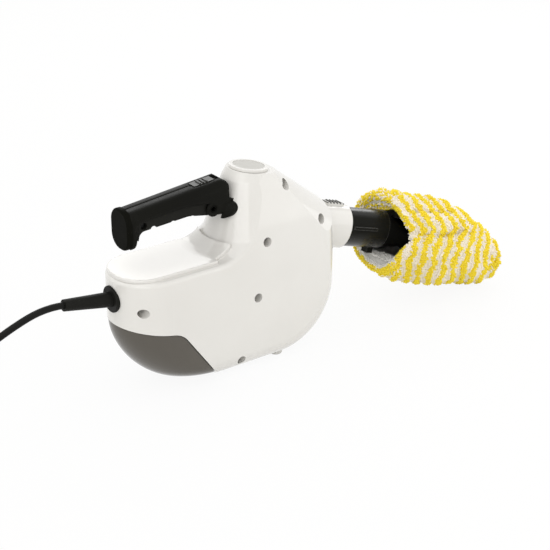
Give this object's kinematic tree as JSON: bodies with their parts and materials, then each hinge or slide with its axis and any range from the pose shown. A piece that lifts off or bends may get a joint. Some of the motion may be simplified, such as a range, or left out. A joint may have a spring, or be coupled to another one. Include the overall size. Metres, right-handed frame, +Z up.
{
  "type": "handheld steam cleaner",
  "caption": "Handheld steam cleaner: white boiler body with open black trigger grip, turn-off filler cap, hand nozzle in a striped terry bonnet and a coiled mains lead.",
  "frame": {"origin": "on the floor, half-way along the cleaner from the cord boot to the tip of the bonnet, in the body's middle plane; the lead is not counted", "axes": "+X forward towards the nozzle, +Y to the left, +Z up"},
  "size_m": [0.8909, 0.179, 0.2148],
  "materials": {
    "white_shell": "glossy moulded white",
    "cap_disc": "pale grey satin",
    "grey_trim": "glossy warm grey",
    "black_grip": "satin black",
    "black_nozzle": "semi-gloss black",
    "grey_button": "ribbed pale plastic",
    "inner_plastic": "dull moulded",
    "black_rubber": "matte black",
    "pale_rubber": "matte off-white",
    "cord_black": "satin black jacket",
    "seal": "silicone",
    "steel": "bright steel",
    "aluminium": "die cast",
    "pipe": "heat-proof plastic",
    "coil_wrap": "varnished winding",
    "wire": "insulated wire",
    "tie": "woven strap",
    "terry": "yellow and cream striped terry pile"
  },
  "bodies": {
    "base": {"right_housing": "white_shell", "left_housing": "white_shell", "rear_deck": "white_shell", "rear_bumper": "grey_trim", "handle_right": "black_grip", "handle_left": "black_grip", "handle_end_cap": "black_grip", "trigger_pin": "black_grip", "nozzle_socket": "inner_plastic", "cord_clamp": "inner_plastic", "terminal_block": "inner_plastic", "micro_switch": "inner_plastic", "thermal_fuse": "inner_plastic", "cord_boot": "black_rubber", "feet": "pale_rubber", "power_cord": "cord_black", "cord_end": "cord_black", "cord_coil": "cord_black", "inner_cord": "cord_black", "plug_body": "cord_black", "boiler_gasket": "seal", "socket_seal": "seal", "housing_screws": "steel", "boiler_bolts": "steel", "clamp_screws": "steel", "trigger_spring": "steel", "button_spring": "steel", "plug_pins": "steel", "thermostat": "steel", "heating_element": "steel", "boiler_cup": "aluminium", "boiler_lid": "aluminium", "steam_valve": "aluminium", "filler_neck": "pipe", "steam_pipe": "pipe", "valve_coil": "coil_wrap", "wiring": "wire", "cord_tie": "tie"},
    "cap_turner": {"filler_cap": "white_shell", "cap_inlay": "cap_disc", "relief_valve": "inner_plastic"},
    "cap_lifter": {"cap_seal": "seal"},
    "trigger_body": {"trigger": "black_grip", "trigger_screw": "steel"},
    "lock_body": {"child_lock": "black_grip"},
    "button_body": {"release_button": "grey_button"},
    "tool_body": {"hand_nozzle": "black_nozzle", "nozzle_head": "black_nozzle", "bonnet": "terry"}
  },
  "joints": [
    {"name": "cap_lift", "type": "slide", "parent": "base", "child": "cap_lifter", "axis": [0.1392, 0, 0.9903], "range_m": [0, 0.06]},
    {"name": "cap_turn", "type": "hinge", "parent": "cap_lifter", "child": "cap_turner", "pos_m": [-0.0573, 0, 0.209], "axis": [0.1392, 0, 0.9903], "range_deg": [0, 90]},
    {"name": "trigger_pull", "type": "hinge", "parent": "base", "child": "trigger_body", "pos_m": [-0.1113, 0, 0.181], "axis": [0, 1, 0], "range_deg": [0, 3.2], "stiffness_Nm_per_rad": 4, "deforming": ["trigger_spring"]},
    {"name": "child_lock", "type": "slide", "parent": "base", "child": "lock_body", "axis": [0.9945, 0, 0.1047], "range_m": [0, 0.006]},
    {"name": "release_press", "type": "slide", "parent": "base", "child": "button_body", "axis": [-0.2924, 0, -0.9563], "range_m": [0, 0.0024], "stiffness_N_per_m": 800, "deforming": ["button_spring"]},
    {"name": "tool_off", "type": "slide", "parent": "base", "child": "tool_body", "axis": [0.9563, 0, -0.2924], "range_m": [0, 0.07]}
  ]
}
